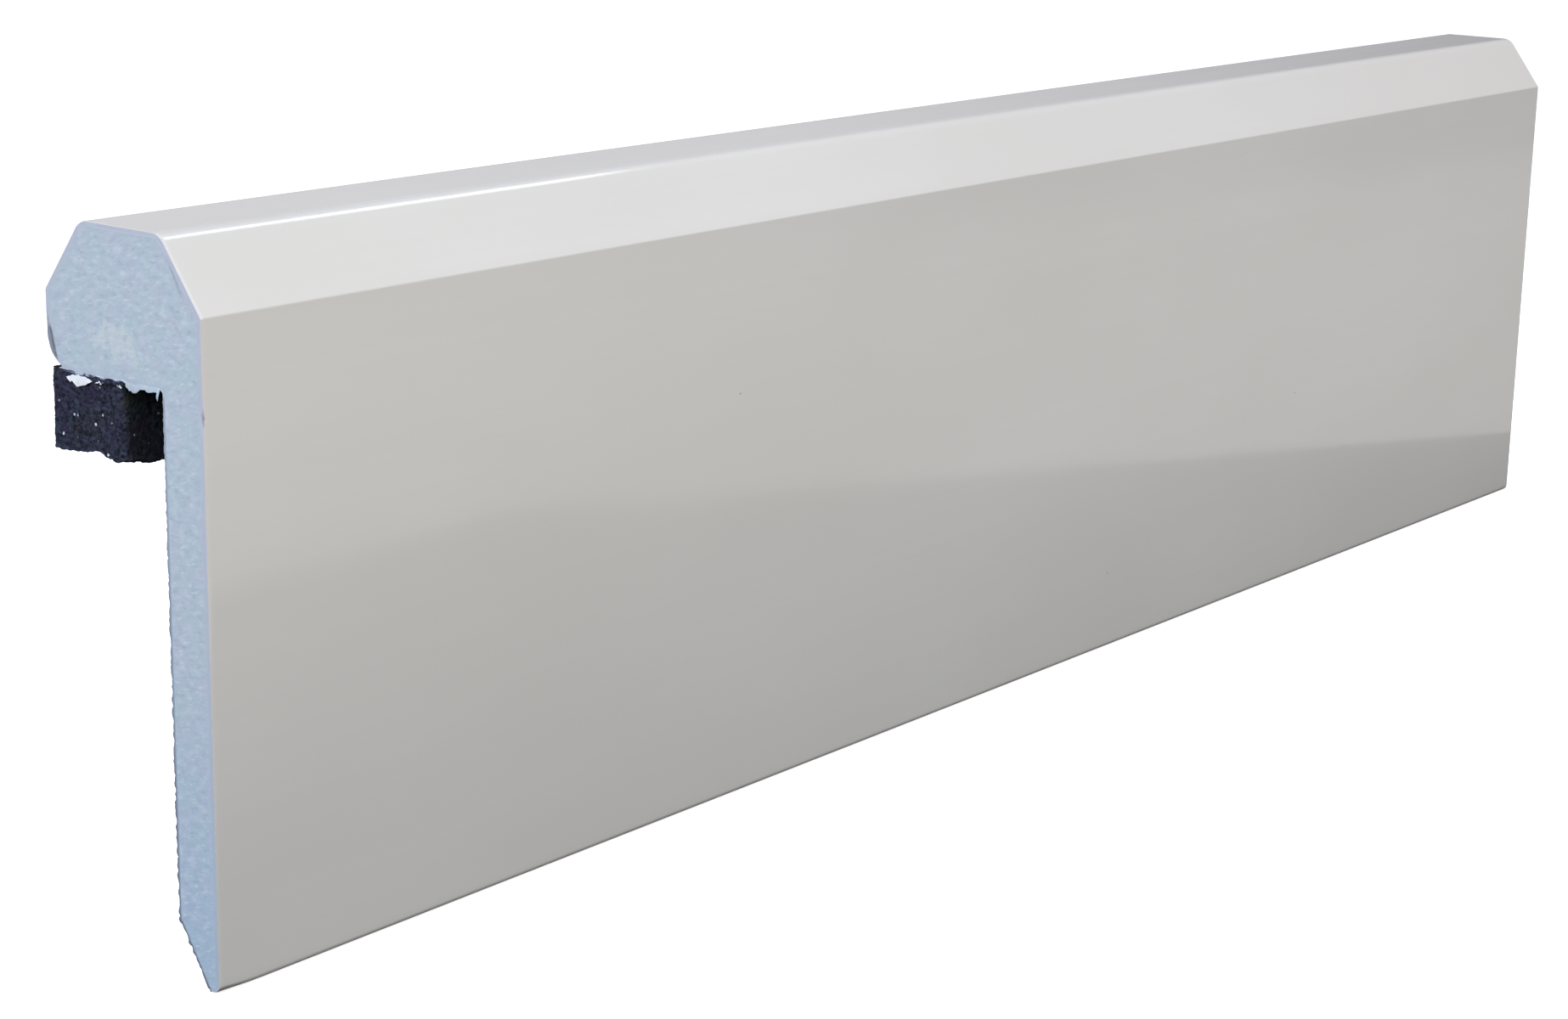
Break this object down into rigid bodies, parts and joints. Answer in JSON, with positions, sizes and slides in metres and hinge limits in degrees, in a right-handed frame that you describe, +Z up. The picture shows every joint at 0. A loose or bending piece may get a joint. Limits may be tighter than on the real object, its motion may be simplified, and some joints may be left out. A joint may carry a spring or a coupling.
{
  "type": "sealed edge trim",
  "caption": "Straight rigid edge trim with a tall flat fascia, a chamfered head that hooks over an edge and a foam weather seal under the head.",
  "frame": {"origin": "middle of the fascia's flat back face", "axes": "+X along the length, +Y out of the back face towards the edge that the head hooks over, +Z up"},
  "size_m": [0.415, 0.0335, 0.11],
  "materials": {
    "cellular_pvc": "matte",
    "cap_skin": "gloss",
    "plain_skin": "satin",
    "adhesive_tape": "matte",
    "seal_foam": "matte"
  },
  "bodies": {
    "trim": {"cellular_core": "cellular_pvc", "face_cap": "cap_skin", "rear_skin": "plain_skin", "seal_tape": "adhesive_tape"},
    "seal": {"seal_strip": "seal_foam"}
  },
  "joints": [
    {"name": "seal_compression", "type": "slide", "parent": "trim", "child": "seal", "axis": [0, 0, 1], "range_m": [0, 0.0045], "stiffness_N_per_m": 2000, "deforming": ["seal_strip"]}
  ]
}
